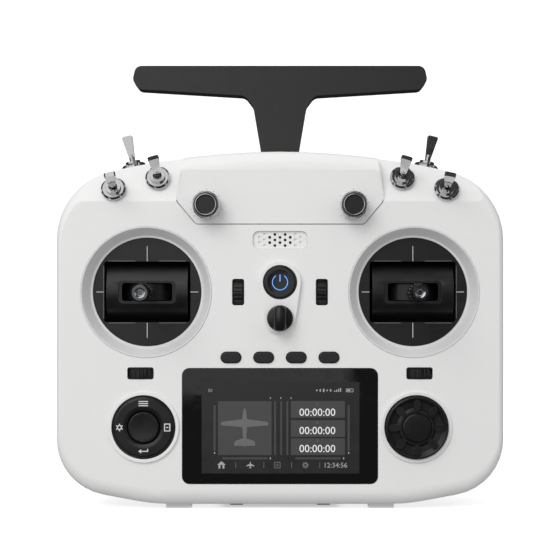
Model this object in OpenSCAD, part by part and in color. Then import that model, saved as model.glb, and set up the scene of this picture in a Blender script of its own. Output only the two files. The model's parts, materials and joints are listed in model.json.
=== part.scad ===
// Hand-held radio transmitter for remote control models.
// Millimetres, +Z up. The control face looks towards -Y and the feet stand on Z = 0.
// The origin is at the bottom centre of the whole object's box.

/* [Case] */
// Width of the case
body_w = 170; // [166:1:174]
// Height of the top edge of the case above the feet
body_top = 136; // [135:0.5:137]
// Height of the case's flat bottom above the feet
foot_h = 1.7; // [1.2:0.1:2.2]
// Wall thickness of both shells
wall = 2.2; // [1.8:0.1:2.6]
// Place of the control face along Y
face_y = -12; // [-12.5:0.1:-11.5]
// Place of the seam between front and rear shell
seam_y = 6; // [5:0.5:7]
// Place of the flat back of the rear shell
rear_y = 20; // [20:0.1:21]
// Radius of the shallow crown along the top edge
crown_r = 281; // [260:1:300]
// Radius of the two upper corners
upper_r = 26.8; // [24:0.1:28]
// Radius of the two lower corners
lower_r = 21.5; // [20:0.1:23]
// Slope of the bottom edge near the lower corners
belly_slope = 10.5; // [8:0.5:13]

/* [Gimbals] */
// Distance of each gimbal from the middle of the case
gimbal_x = 50.6; // [50:0.1:51]
// Height of the gimbal centres
gimbal_z = 82.5; // [82:0.1:83]
// Outer radius of the sloping ring round each gimbal
dish_r = 24.8; // [24.4:0.1:25]
// Radius of the black plate inside the ring
plate_r = 20.6; // [20.4:0.1:20.8]
// Depth of the plate below the control face
plate_depth = 4.5; // [4.2:0.1:4.8]
// Depth of both pivot axes below the control face
pivot_depth = 16.5; // [16.2:0.1:16.8]
// Distance from the pivot axes to the end of the stick
stick_len = 39.5; // [38:0.1:40]
// Radius of the stick's grip
tip_r = 3.4; // [3:0.1:3.8]

/* [Display] */
// Width of the display window
glass_w = 73.9; // [72:0.1:74.5]
// Height of the display window
glass_h = 43.7; // [42:0.1:44.5]
// Height of the window's centre
glass_z = 31.9; // [31.6:0.1:32.4]
// Corner radius of the window
glass_r = 2.9; // [2:0.1:4]

/* [Dials and keys] */
// Distance of the two round dials from the middle
dial_x = 51.5; // [51:0.1:52]
// Height of the two round dials
dial_z = 31.5; // [31:0.1:32]
// Radius of both dials
dial_r = 11.85; // [11.5:0.05:11.9]
// Outer radius of the white rings round the dials
dial_ring_r = 13.4; // [13.2:0.1:13.6]
// Width of one capsule key
key_w = 7.4; // [7:0.1:7.8]
// Height of one capsule key
key_h = 3.9; // [3.6:0.1:4.2]
// Height of the row of keys
key_z = 57.8; // [57.4:0.1:58.2]
// Radius of the power button
power_r = 6.15; // [5.9:0.05:6.3]
// Height of the power button's centre
power_z = 86.2; // [86:0.1:86.6]
// Height of the function knob's centre
knob_z = 72.7; // [72.4:0.1:73]
// Distance of the two round pots from the middle
pot_x = 27.7; // [27.4:0.1:28]
// Height of the two pots
pot_z = 115.2; // [115:0.1:115.6]

/* [Switches] */
// Tilt of the corner facets that carry the front switches
facet_tilt = 22; // [20:1:26]
// Distance of the facets' inner corner from the middle
facet_x = 39.4; // [39:0.1:40]
// Height at which the facets leave the control face
facet_z = 116.8; // [116.6:0.1:117.4]
// Radius of the slotted switch nuts
nut_r = 4.7; // [4.4:0.1:4.8]
// Throw of a switch lever to each side
lever_throw = 12.5; // [10:0.5:13]
// Length of a lever beyond its bush
lever_len = 10.2; // [9:0.1:10.8]

/* [Antenna] */
// Half the width of the antenna's cross arm
antenna_half_w = 59.3; // [56:0.1:60]
// Height of the antenna's top edge
antenna_top = 173.3; // [170:0.1:174]
// Thickness of the antenna
antenna_t = 9.8; // [9:0.1:10]
// Place of the antenna's middle plane along Y
antenna_y = 26; // [26:0.1:26.2]
// Height of the antenna's folding axis
antenna_hinge_z = 119.5; // [119:0.5:120]

/* [Hidden] */
$fn = 48;

// Running clearance between a shaft and its bore, and the gap round parts that move
run = 0.05;
gap = 0.3;
// Small overlap that makes a cut pass through a surface
cut = 0.5;

// Case outline: where its arcs sit
mid_z = (body_top + foot_h) / 2;
half_h = (body_top - foot_h) / 2;
lower_x = body_w / 2 - lower_r;
upper_x = body_w / 2 - upper_r;
crown_z = body_top - crown_r;
crown_angle = asin(upper_x / (crown_r - upper_r));
upper_z = crown_z + sqrt(pow(crown_r - upper_r, 2) - pow(upper_x, 2));
belly_r = 70;
belly_x = 41.8;
slope_start_x = belly_x + belly_r * sin(belly_slope);
slope_start_z = foot_h + belly_r * (1 - cos(belly_slope));
slope_len = (lower_x - slope_start_x + lower_r * sin(belly_slope)) / cos(belly_slope);
lower_z = slope_start_z + slope_len * sin(belly_slope) + lower_r * cos(belly_slope);

// Rounding of the front edge (sideways, extra at top and bottom, depth) and of the rear edge
edge_in = 2.4;
edge_roll = 4.2;
edge_depth = 5;
rear_round = 9;
rear_flat_y = 12;
// Thickness of the slices that the rounded edges are hulled from
thin = 0.02;

// Depths below the control face of what sits behind it
bezel_depth = 6.5;
frame_half = 21;
frame_wall = 2;
frame_front = 7.2;
frame_back = 28;
pin_r = 2;
bearing_r = 3.5;
shield_r = 13.2;
shield_t = 1.4;
shield_half_w = 15.4;
yoke_r = shield_r - shield_t - 0.4;
yoke_pin_r = 1.2;
window_w = 32.8;
window_h = 23;
fascia_t = 1.6;
plinth_h = 1.6;
grille_z = 102.2;
grille_w = 20.5;
grille_h = 6.6;
trim_x = 15.8;
trim_low_x = 52.7;
trim_low_z = 51.8;
trim_w = 4.4;
trim_h = 9.8;
trim_r = 5.2;
trim_axis_depth = 4.4;
key_places = [-18.5, -6.15, 6.15, 18.5];
pot_r = 5.15;
bush_r = 2.9;
bush_h = 3.2;
lever_pivot = 1.8;
switch_places = [[-63, 121.1], [-46.4, 125.4], [46.4, 125.4], [63, 121.1]];
switch_turns = [12, 18, -18, -12];
shoulder_x = 57.5;
shoulder_y = 11.7;
shoulder_z = 130.8;
shoulder_lean = 13;
screw_places = [[-40, 108.5], [40, 108.5], [-40, 16.5], [40, 16.5]];
boss_r = 3;
screw_r = 1.2;
jack_x = 28;
jack_y = 9.5;
jack_r = 1.8;
jack_len = 12;
cell_r = 9.2;
cell_len = 65;
cell_x = 10.5;
cell_y = 21.4;
cell_z = 22;
bay_half_w = 22;
bay_low = 19;
bay_high = 90;
bay_back = 33;
door_t = 1.8;
door_hinge_z = 21.2;
door_hinge_r = 1.1;
grip_back = 35;
grip_pad_t = 1.2;

function arc(x, z, r, from, to, steps) =
    [for (i = [0:steps]) let (a = from + (to - from) * i / steps) [x + r * cos(a), z + r * sin(a)]];

// Right half of the case outline, from the bottom to the top, moved inwards by d
function half_outline(d) = concat(
    arc(belly_x, foot_h + belly_r, belly_r - d, -90, -90 + belly_slope, 3),
    arc(lower_x, lower_z, lower_r - d, -90 + belly_slope, 0, 8),
    arc(upper_x, upper_z, upper_r - d, 0, 90 - crown_angle, 8),
    arc(0, crown_z, crown_r - d, 90 - crown_angle, 90, 6));

// Whole outline. The extra dz draws the top and bottom edges in further than the sides
function outline(d, dz) =
    let (half = half_outline(d),
        left = [for (i = [len(half) - 2:-1:0]) [-half[i][0], half[i][1]]])
    [for (p = concat(half, left)) [p[0], mid_z + (p[1] - mid_z) * (1 - dz / half_h)]];

// Depth of the sloping corner facets at a height
function facet_y(z) = face_y + (z - facet_z) * tan(facet_tilt);

// Puts children on the control face, with their +Z pointing out of it and their Y up
module on_face(x, z, rise = 0) {
    translate([x, face_y - rise, z])
        rotate([90, 0, 0])
            children();
}

// The case outline, filled between two depths and moved inwards by d
module slab(from_y, to_y, d, dz = 0) {
    translate([0, to_y, 0])
        rotate([90, 0, 0])
            linear_extrude(to_y - from_y)
                polygon(outline(d, dz));
}

// Front half of the case as a solid, moved inwards by d
module front_block(d) {
    start = face_y + d + edge_depth;
    hull() {
        for (a = [90:-18:18])
            let (y = start - edge_depth * sin(a))
                slab(y, y + thin, d + edge_in * (1 - cos(a)), edge_roll * (1 - cos(a)));
        slab(start, start + 1, d);
    }
    slab(start + 1, seam_y, d);
}

// Rear half of the case as a solid, moved inwards by d
module rear_block(d) {
    slab(seam_y, rear_flat_y - 1, d);
    hull() {
        slab(rear_flat_y - 1, rear_flat_y, d);
        for (a = [18:18:90])
            let (y = rear_flat_y + (rear_y - d - rear_flat_y) * sin(a))
                slab(y - thin, y, d + rear_round * (1 - cos(a)));
    }
}

// Rounded swelling over the battery bay
module bay_block() {
    low = bay_low - 4;
    high = bay_high + 5;
    depth = bay_back - rear_y;
    hull()
        for (a = [0:22.5:90], x = [-1, 1], z = [low, high])
            translate([x * (bay_half_w + 2), rear_y - 2 + (depth + 2) * sin(a), z])
                rotate([90, 0, 0])
                    cylinder(h = 0.1, r = 3 + 6 * cos(a), $fn = 32);
}

// Swelling for one hand on the back of the case, moved inwards by d
module grip_block(side, d) {
    depth = grip_back - grip_pad_t - rear_y - d;
    hull()
        for (a = [0:18:90], end = [0, 1])
            translate([side * 62.5, rear_y - 3 + (depth + 3) * sin(a), end == 0 ? 28 : 74])
                rotate([90, 0, 0])
                    cylinder(h = 0.1, r = 7 - d + (8 - 2 * end) * cos(a), $fn = 32);
}

// Material in front of the two corner facets; depth moves the facets inwards
module facet_cuts(depth) {
    for (side = [0, 1])
        mirror([side, 0, 0])
            translate([0, face_y, facet_z])
                rotate([90 - facet_tilt, 0, 0])
                    translate([0, 0, -depth])
                        linear_extrude(40)
                            polygon([[facet_x + 2 - depth, -12], [120, -12], [120, 45], [facet_x - 7 - depth, 45]]);
}

module rounded_plate(w, h, r, t) {
    linear_extrude(t)
        hull()
            for (x = [-1, 1], y = [-1, 1])
                translate([x * (w / 2 - r), y * (h / 2 - r)])
                    circle(r, $fn = 32);
}

module capsule(w, h, t) {
    linear_extrude(t)
        union() {
            square([w - h, h], center = true);
            for (x = [-1, 1])
                translate([x * (w - h) / 2, 0])
                    circle(h / 2);
        }
}

// Flat ring of a given height
module ring(outer, inner, h) {
    difference() {
        cylinder(h = h, r = outer);
        translate([0, 0, -cut])
            cylinder(h = h + 2 * cut, r = inner);
    }
}

// Puts children at a switch: 0 to 3 on the front facets, 4 and 5 on the rear shoulders
module at_switch(i) {
    side = i == 4 ? -1 : 1;
    if (i < 4)
        translate([switch_places[i][0], facet_y(switch_places[i][1]), switch_places[i][1]])
            rotate([90 - facet_tilt, 0, 0])
                rotate([0, 0, switch_turns[i]])
                    children();
    else
        translate([side * shoulder_x, shoulder_y, shoulder_z])
            rotate([0, side * shoulder_lean, 0])
                children();
}

// Outline of the plate between the front switches; grow makes its pocket
module fascia_outline(grow) {
    low = 108.3;
    high = 128.4;
    offset(delta = grow)
        offset(r = 1.5)
            offset(delta = -1.5)
                polygon([[-31.7, low], [31.7, low], [38.9, facet_z], [36.9, high], [-36.9, high], [-38.9, facet_z]]);
}

// ---- Case ----

module front_shell() {
    color("whitesmoke")
        difference() {
            union() {
                difference() {
                    front_block(0);
                    difference() {
                        front_block(wall);
                        facet_cuts(wall);
                    }
                    facet_cuts(0);
                }
                for (p = screw_places)
                    translate([p[0], rear_y - wall, p[1]])
                        rotate([90, 0, 0])
                            cylinder(h = rear_y - face_y - 2 * wall + 0.4, r = boss_r);
            }
            for (p = screw_places)
                translate([p[0], rear_y, p[1]])
                    rotate([90, 0, 0])
                        cylinder(h = rear_y - face_y - wall - 2, r = screw_r);
            for (side = [-1, 1]) {
                on_face(side * gimbal_x, gimbal_z, -10)
                    cylinder(h = 20, r = dish_r + 0.1);
                on_face(side * dial_x, dial_z, -10)
                    cylinder(h = 20, r = dial_ring_r - 0.6);
                on_face(side * trim_x, gimbal_z, -10)
                    rounded_plate(trim_w + 0.2, trim_h + 0.2, 0.9, 20);
                on_face(side * trim_low_x, trim_low_z, -10)
                    rounded_plate(trim_h + 0.2, trim_w + 0.2, 0.9, 20);
                on_face(side * pot_x, pot_z, -10)
                    cylinder(h = 20, r = pot_r - 0.3);
            }
            for (x = key_places)
                on_face(x, key_z, -10)
                    capsule(key_w + 2 * gap, key_h + 2 * gap, 20);
            on_face(0, power_z, -10)
                cylinder(h = 20, r = power_r + gap);
            on_face(0, knob_z, -10)
                cylinder(h = 20, r = 2 + run);
            on_face(0, glass_z, -1.3)
                rounded_plate(glass_w + 0.2, glass_h + 0.2, glass_r, 4);
            on_face(0, glass_z, -10)
                rounded_plate(glass_w - 5, glass_h - 5, 1, 20);
            on_face(0, grille_z, -10)
                rounded_plate(grille_w + 0.1, grille_h + 0.1, 2.2, 20);
            on_face(0, 0, -fascia_t)
                linear_extrude(4)
                    fascia_outline(gap);
            for (i = [0:3])
                at_switch(i)
                    translate([0, 0, -8])
                        cylinder(h = 16, r = bush_r + 0.1);
        }
}

module rear_shell() {
    color("whitesmoke")
        difference() {
            union() {
                rear_block(0);
                bay_block();
                for (side = [-1, 1])
                    grip_block(side, 0);
                // Round seats of the shoulder switches
                for (i = [4:5])
                    at_switch(i)
                        translate([0, 0, -5])
                            cylinder(h = 5, r = nut_r + 0.6);
            }
            for (side = [-1, 1])
                grip_block(side, wall);
            rear_block(wall);
            slab(seam_y - 1, seam_y + 1, wall);
            // Battery bay, the opening for its door and the door's hinge
            translate([-bay_half_w, seam_y, bay_low])
                cube([2 * bay_half_w, bay_back - seam_y - door_t - 0.4, bay_high - bay_low]);
            translate([-bay_half_w - 2 - gap, bay_back - door_t - 0.4, door_hinge_z])
                cube([2 * bay_half_w + 4 + 2 * gap, 4, bay_high + 2 + gap - door_hinge_z]);
            translate([-bay_half_w - 2 - gap, bay_back - door_hinge_r, door_hinge_z])
                rotate([0, 90, 0])
                    cylinder(h = 2 * bay_half_w + 4 + 2 * gap, r = door_hinge_r + gap);
            translate([-bay_half_w - 2 - gap, bay_back - door_hinge_r, door_hinge_z - 1.6])
                cube([2 * bay_half_w + 4 + 2 * gap, 4, 3]);
            translate([-bay_half_w - 4, bay_back - door_hinge_r, door_hinge_z])
                rotate([0, 90, 0])
                    cylinder(h = 2 * bay_half_w + 8, r = 0.6 + run);
            // Screws, switches, jack
            for (p = screw_places) {
                translate([p[0], rear_y - wall + 1.2, p[1]])
                    rotate([-90, 0, 0])
                        cylinder(h = 12, r = 2.6);
                translate([p[0], rear_y + 1, p[1]])
                    rotate([90, 0, 0])
                        cylinder(h = 5, r = screw_r + 0.1);
            }
            for (i = [4:5])
                at_switch(i)
                    translate([0, 0, -14])
                        cylinder(h = 28, r = bush_r + 0.1);
            translate([jack_x, jack_y, 0])
                cylinder(h = 8, r = 3.4);
        }
}

module top_fascia() {
    color("whitesmoke")
        difference() {
            on_face(0, 0, -fascia_t)
                linear_extrude(fascia_t)
                    fascia_outline(0);
            for (side = [-1, 1])
                on_face(side * pot_x, pot_z, -fascia_t - cut)
                    cylinder(h = fascia_t + 2 * cut, r = pot_r - 0.3);
        }
}

module centre_plinth() {
    color("whitesmoke")
        difference() {
            on_face(0, 0)
                linear_extrude(plinth_h)
                    hull() {
                        translate([0, power_z])
                            circle(7.9);
                        translate([0, knob_z])
                            circle(5.9);
                    }
            on_face(0, power_z, -cut)
                cylinder(h = plinth_h + 2 * cut, r = power_r + gap);
            on_face(0, knob_z, -cut)
                cylinder(h = plinth_h + 2 * cut, r = 2 + run);
        }
}

module feet() {
    color("whitesmoke")
        for (side = [-1, 1])
            translate([side * 38.7 - 4.8, face_y + 6, 0])
                cube([9.6, 21, foot_h]);
}

// Soft cover over the sockets under the case, with a tab at each end
module port_cover() {
    color("#1a1a1c") {
        translate([-22.4, face_y + 8, foot_h - 0.5])
            cube([44.8, 13, 0.5]);
        for (side = [-1, 1])
            translate([side * 16.7 - 2.5, face_y + 10, foot_h - 1.2])
                cube([5, 9, 0.7]);
    }
}

// Headphone socket that opens downwards
module jack_socket() {
    color("#202022")
        translate([jack_x, jack_y, foot_h])
            difference() {
                cylinder(h = 14, r = 3.4);
                translate([0, 0, -cut])
                    cylinder(h = jack_len + cut, r = jack_r);
            }
}

module rear_grips() {
    color("#3a3a3c")
        for (side = [-1, 1])
            translate([side * 63, grip_back, 0])
                rotate([90, 0, 0])
                    linear_extrude(grip_pad_t)
                        hull()
                            for (z = [28, 74])
                                translate([-0.5 * side, z])
                                    circle(6.8);
}

module screws() {
    color("#2a2a2c")
        for (p = screw_places)
            translate([p[0], rear_y - wall + 1.2, p[1]])
                rotate([90, 0, 0]) {
                    difference() {
                        translate([0, 0, -1.6])
                            cylinder(h = 1.6, r = 2.3);
                        translate([0, 0, -2.2])
                            cylinder(h = 1.4, r = 1, $fn = 6);
                    }
                    cylinder(h = 22, r = screw_r - run);
                }
}

// ---- Behind the face ----

module speaker_grille() {
    color("whitesmoke")
        on_face(0, grille_z, -1.8)
            difference() {
                rounded_plate(grille_w, grille_h, 2.2, 1);
                // Nine staggered columns of holes; the outer two on each side are blind
                for (i = [-4:4])
                    for (z = i % 2 == 0 ? [-1, 1] : [-2.1, 0, 2.1])
                        translate([1.94 * i, z, abs(i) > 2 ? 0.55 : -cut])
                            cylinder(h = 2, r = 0.54, $fn = 16);
            }
}

module speaker_driver() {
    color("#202022")
        on_face(0, grille_z, -8.4)
            union() {
                translate([0, 0, 2])
                    cylinder(h = 3.6, r = 8.6);
                cylinder(h = 2.2, r = 5);
            }
}

module screen_glass() {
    color("#101012")
        on_face(0, glass_z, -1.2)
            rounded_plate(glass_w, glass_h, glass_r, 1.4);
}

module lcd_module() {
    color("#2b2d33")
        on_face(0, glass_z, -5)
            translate([-33.5, -18.5, 0])
                cube([67, 37, 3.6]);
}

module main_board() {
    color("#1f5a38")
        difference() {
            union() {
                translate([-27, -2, 15])
                    cube([54, 1.6, 56]);
                translate([-11, -2, 70])
                    cube([22, 1.6, 22]);
                // Processor, radio module's can and a memory chip
                translate([-12, -0.5, 46])
                    cube([14, 1.6, 14]);
                translate([8, -0.5, 46])
                    cube([16, 3, 14]);
                translate([-22, -0.5, 30])
                    cube([10, 1.4, 10]);
            }
            for (x = [-24, 24], z = [18, 66])
                translate([x, 1, z])
                    rotate([90, 0, 0])
                        cylinder(h = 4, r = 1.2);
        }
}

module dial_bezels() {
    color("whitesmoke")
        for (side = [-1, 1])
            on_face(side * dial_x, dial_z)
                union() {
                    translate([0, 0, 0])
                        ring(dial_ring_r, dial_ring_r - 1.3, 0.8);
                    translate([0, 0, -5.6])
                        ring(dial_ring_r - 0.65, dial_r + gap - 0.05, 5.7);
                    translate([0, 0, -7])
                        ring(dial_ring_r - 0.65, 3 + run, 1.45);
                }
}

module nav_rocker() {
    color("#303034")
        on_face(-dial_x, dial_z, -3.8)
            union() {
                ring(9.6, 7.2, 1.4);
                for (side = [-1, 1])
                    translate([side * 11.6, 0, 0.7])
                        rotate([0, -side * 90, 0])
                            cylinder(h = 2.4, r = 0.6);
            }
}

module nav_ring() {
    color("#1b1b1d")
        on_face(-dial_x, dial_z)
            union() {
                translate([0, 0, -1.6])
                    ring(dial_r - 0.15, 6.3, 1.7);
                rotate_extrude()
                    polygon([[6.3, 0], [dial_r - 0.15, 0], [dial_r - 0.4, 0.6], [dial_r - 1.2, 1.1],
                        [8, 1.1], [6.9, 0.8], [6.3, 0.4]]);
            }
}

module nav_button() {
    color("#141416")
        on_face(-dial_x, dial_z)
            rotate_extrude()
                polygon([[0, -4.6], [5.9, -4.6], [5.9, 0.9], [5.5, 1.4], [4, 1.3], [0, 1.1]]);
}

module encoder_wheel() {
    color("#1b1b1d")
        on_face(dial_x, dial_z)
            difference() {
                union() {
                    translate([0, 0, -4.6])
                        cylinder(h = 5.2, r = dial_r - 0.1);
                    rotate_extrude()
                        polygon([[0, 0.5], [dial_r - 0.1, 0.5], [dial_r - 0.2, 2.2], [dial_r - 0.7, 2.6],
                            [dial_r - 1.1, 2.3], [9.6, 1.4], [7.4, 1.2], [6.4, 2], [0, 2]]);
                    // Eight raised ribs for the fingertip, in the hollow of the face
                    for (i = [0:7])
                        rotate([0, 0, 45 * i])
                            translate([8.5, 0, 0.8])
                                linear_extrude(1.9)
                                    offset(r = 1.15)
                                        square([1.7, 0.2], center = true);
                    translate([0, 0, -9])
                        cylinder(h = 5, r = 3);
                }
                translate([0, 0, -2])
                    cylinder(h = 6, r = 5.5 + gap / 2);
            }
}

module encoder_button() {
    color("#141416")
        on_face(dial_x, dial_z)
            rotate_extrude()
                polygon([[0, -1.3], [5.45, -1.3], [5.45, 2.6], [5, 3], [0, 3.2]]);
}

module soft_key(i) {
    color("#1d1d1f")
        on_face(key_places[i], key_z, -3)
            union() {
                capsule(key_w, key_h, 3.8);
                translate([0, 0, -0.4])
                    capsule(key_w + 1.6, key_h + 1.6, 1);
            }
}

module power_button() {
    color("#161618")
        on_face(0, power_z)
            rotate_extrude()
                polygon([[0, -3], [power_r + 0.9, -3], [power_r + 0.9, -2.4], [power_r, -2.4], [power_r, 1.6],
                    [power_r - 0.4, 2], [4.6, 1.9], [0, 1.6]]);
}

module function_knob() {
    color("#1a1a1c")
        on_face(0, knob_z, plinth_h)
            union() {
                translate([0, 0, 0.3])
                    cylinder(h = 1.6, r = 4.9);
                // Grip bar, standing upright at rest
                intersection() {
                    translate([-2.4, -5, 1.8])
                        cube([4.8, 10, 3.2]);
                    cylinder(h = 6, r = 4.6);
                }
                translate([0, 0, -10])
                    cylinder(h = 10.5, r = 2);
            }
}

module pot_knob(side) {
    color("#1a1a1c")
        on_face(side * pot_x, pot_z)
            union() {
                rotate_extrude()
                    polygon([[0, 0.4], [pot_r - 0.6, 0.4], [pot_r - 0.6, 7], [pot_r - 1, 7.6], [3.2, 7.6],
                        [3, 7.3], [0, 7.3]]);
                translate([0, 0, -6])
                    cylinder(h = 6.6, r = 2);
            }
}

module pot_collars() {
    color("silver")
        for (side = [-1, 1])
            on_face(side * pot_x, pot_z)
                rotate_extrude()
                    polygon([[pot_r - 0.6 + run, 0], [pot_r, 0], [pot_r, 6], [pot_r - 0.3, 6.4],
                        [pot_r - 0.6 + run, 6.4]]);
}

module pot_bodies() {
    color("#55585c")
        for (side = [-1, 1])
            on_face(side * pot_x, pot_z, -11)
                difference() {
                    union() {
                        translate([-5.5, -5.5, 0])
                            cube([11, 11, 5]);
                        cylinder(h = 8, r = 3.2);
                    }
                    translate([0, 0, 4])
                        cylinder(h = 8, r = 2 + run);
                }
}

// ---- Trims ----

module at_trim(i) {
    side = i % 2 == 0 ? -1 : 1;
    if (i < 2)
        on_face(side * trim_x, gimbal_z, -trim_axis_depth)
            children();
    else
        on_face(side * trim_low_x, trim_low_z, -trim_axis_depth)
            rotate([0, 0, 90])
                children();
}

module trim_wheel(i) {
    color("#1c1c1e")
        at_trim(i)
            rotate([0, 90, 0])
                difference() {
                    union() {
                        translate([0, 0, -1.6])
                            cylinder(h = 3.2, r = trim_r);
                        translate([0, 0, -3])
                            cylinder(h = 6, r = 1);
                    }
                    for (k = [0:19])
                        rotate([0, 0, 18 * k])
                            translate([trim_r + 0.15, 0, -2])
                                cylinder(h = 4, r = 0.45, $fn = 12);
                }
}

module trim_frames() {
    color("#141416")
        for (i = [0:3])
            at_trim(i)
                difference() {
                    union() {
                        translate([0, 0, 1])
                            rounded_plate(trim_w, trim_h, 0.8, trim_axis_depth - 1.1);
                        translate([-3.2, -6.8, -6.2])
                            cube([6.4, 13.6, 8.3]);
                    }
                    translate([-1.8, -5.7, -5.6])
                        cube([3.6, 11.4, 12]);
                    rotate([0, 90, 0])
                        translate([0, 0, -4])
                            cylinder(h = 8, r = 1 + run);
                }
}

// ---- Gimbals ----

module at_gimbal(side) {
    on_face(side * gimbal_x, gimbal_z, -pivot_depth)
        children();
}

// The sloping dish round each stick
module gimbal_bezels() {
    color("gainsboro")
        for (side = [-1, 1])
            on_face(side * gimbal_x, gimbal_z)
                rotate_extrude()
                    polygon([[dish_r, 0.2], [dish_r - 0.5, 0.2], [plate_r + 0.9, -plate_depth + 0.3],
                        [plate_r + 0.1, -plate_depth + 0.3], [plate_r + 0.1, -bezel_depth], [dish_r, -bezel_depth]]);
}

module gimbal_plates() {
    color("#1b1b1d")
        for (side = [-1, 1])
            difference() {
                on_face(side * gimbal_x, gimbal_z, -bezel_depth)
                    cylinder(h = bezel_depth - plate_depth, r = plate_r);
                on_face(side * gimbal_x, gimbal_z, -bezel_depth - cut)
                    rounded_plate(window_w, window_h, 1, 4);
            }
}

module gimbal_frames() {
    inner = frame_half - frame_wall;
    color("#3c3e42")
        for (side = [-1, 1])
            difference() {
                on_face(side * gimbal_x, gimbal_z, -frame_back)
                    translate([-frame_half, -frame_half, 0])
                        cube([2 * frame_half, 2 * frame_half, frame_back - frame_front]);
                on_face(side * gimbal_x, gimbal_z, -frame_back + frame_wall)
                    translate([-inner, -inner, 0])
                        cube([2 * inner, 2 * inner, frame_back]);
                at_gimbal(side)
                    rotate([0, 90, 0])
                        translate([0, 0, -frame_half - cut])
                            cylinder(h = 2 * (frame_half + cut), r = bearing_r);
            }
}

module gimbal_bearings() {
    color("silver")
        for (side = [-1, 1], end = [-1, 1])
            at_gimbal(side)
                rotate([0, 90 * end, 0])
                    translate([0, 0, frame_half - frame_wall])
                        ring(bearing_r, pin_r + run, frame_wall);
}

// Curved cover that turns with the stick's up and down travel
module gimbal_shield(side) {
    cheek = 1.4;
    color("#18181a")
        at_gimbal(side)
            difference() {
                union() {
                    // Cover, a part of a tube round the X axis, open at the back
                    difference() {
                        rotate([0, 90, 0])
                            translate([0, 0, -shield_half_w])
                                cylinder(h = 2 * shield_half_w, r = shield_r, $fn = 96);
                        rotate([0, 90, 0])
                            translate([0, 0, -shield_half_w + cheek])
                                cylinder(h = 2 * (shield_half_w - cheek), r = shield_r - shield_t, $fn = 96);
                        translate([-20, -20, -44])
                            cube([40, 40, 40]);
                    }
                    // Axle stubs and the two bars that hold the yoke's pin
                    for (end = [-1, 1])
                        rotate([0, 90 * end, 0])
                            translate([0, 0, shield_half_w - cheek])
                                cylinder(h = frame_half - shield_half_w + cheek, r = pin_r);
                    for (end = [-1, 1])
                        translate([-shield_half_w + 0.5, end * 7.5 - 1.25, -3])
                            cube([2 * shield_half_w - 1, 2.5, 6]);
                }
                // Slot that the stick moves along, with a step round it
                translate([0, 0, 5])
                    linear_extrude(20)
                        offset(r = 1.1)
                            square([17, 4.8], center = true);
                translate([0, 0, shield_r - 0.8])
                    linear_extrude(4)
                        offset(r = 1.8)
                            square([18.4, 5.1], center = true);
                rotate([90, 0, 0])
                    translate([0, 0, -12])
                        cylinder(h = 24, r = yoke_pin_r + run);
            }
}

// Inner part that turns with the stick's sideways travel
module gimbal_yoke(side) {
    color("#222225")
        at_gimbal(side)
            difference() {
                union() {
                    intersection() {
                        rotate([90, 0, 0])
                            translate([0, 0, -3.1])
                                difference() {
                                    cylinder(h = 6.2, r = yoke_r, $fn = 96);
                                    translate([0, 0, -cut])
                                        cylinder(h = 8, r = yoke_r - 1.5, $fn = 96);
                                }
                        translate([-20, -20, 0])
                            cube([40, 40, 40]);
                    }
                    cylinder(h = yoke_r - 0.6, r = 3);
                    translate([-yoke_r + 0.3, -3.1, -1])
                        cube([2 * yoke_r - 0.6, 6.2, 3]);
                    rotate([90, 0, 0])
                        translate([0, 0, -5.6])
                            cylinder(h = 11.2, r = 3);
                    rotate([90, 0, 0])
                        translate([0, 0, -8.7])
                            cylinder(h = 17.4, r = yoke_pin_r);
                }
                translate([0, 0, 2])
                    cylinder(h = 20, r = 1.6);
            }
}

module stick_shaft(side) {
    color("silver")
        at_gimbal(side)
            union() {
                translate([0, 0, 2])
                    cylinder(h = stick_len - 5, r = 1.6);
                translate([0, 0, yoke_r + 1])
                    cylinder(h = 2, r = 2.7);
            }
}

// Knurled grip with a stepped hollow end
module stick_tip(side) {
    tip_h = 11;
    color(side < 0 ? "#c9ccd0" : "#4a4c50")
        at_gimbal(side)
            difference() {
                translate([0, 0, stick_len - tip_h])
                    rotate_extrude()
                        polygon([[1.6, 0], [2.6, 0], [tip_r, 1], [tip_r, tip_h - 0.6], [tip_r - 0.6, tip_h],
                            [1.9, tip_h], [1.9, tip_h - 0.5], [1, tip_h - 0.9], [1, 9.2], [0, 9.2], [0, 8], [1.6, 8]]);
                for (k = [0:15])
                    rotate([0, 0, 22.5 * k])
                        translate([tip_r + 0.12, 0, stick_len - tip_h + 1.6])
                            cylinder(h = tip_h, r = 0.4, $fn = 12);
            }
}

// ---- Switches ----

module toggle_lever(i, rest_tilt) {
    color("silver")
        at_switch(i)
            translate([0, 0, lever_pivot])
                rotate([rest_tilt, 0, 0])
                    union() {
                        sphere(1.5);
                        cylinder(h = 4, r1 = 1, r2 = 1.15);
                        // Flat bat that widens towards its end
                        translate([0, 0.9, 0])
                            rotate([90, 0, 0])
                                linear_extrude(1.8)
                                    polygon([[-1.1, 3], [1.1, 3], [2.1, lever_len + 0.9], [1.6, lever_len + 1.4],
                                        [-1.6, lever_len + 1.4], [-2.1, lever_len + 0.9]]);
                    }
}

module toggle_nuts() {
    color("silver")
        for (i = [0:5])
            at_switch(i)
                difference() {
                    rotate_extrude()
                        polygon([[bush_r, 0], [nut_r, 0], [nut_r, 1.5], [nut_r - 0.7, 2.1], [bush_r, 2.1]]);
                    for (k = [0:5])
                        rotate([0, 0, 60 * k])
                            translate([nut_r, 0, 1])
                                cylinder(h = 2, r = 0.6, $fn = 16);
                }
}

module toggle_bodies() {
    color("#6a6d72")
        for (i = [0:5])
            at_switch(i)
                difference() {
                    union() {
                        translate([0, 0, -5])
                            cylinder(h = 5 + bush_h, r = bush_r);
                        translate([-3.6, -3.6, -13.5])
                            cube([7.2, 7.2, 9]);
                    }
                    translate([0, 0, 0])
                        cylinder(h = 5, r = 1.6);
                }
}

// ---- Antenna ----

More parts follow.
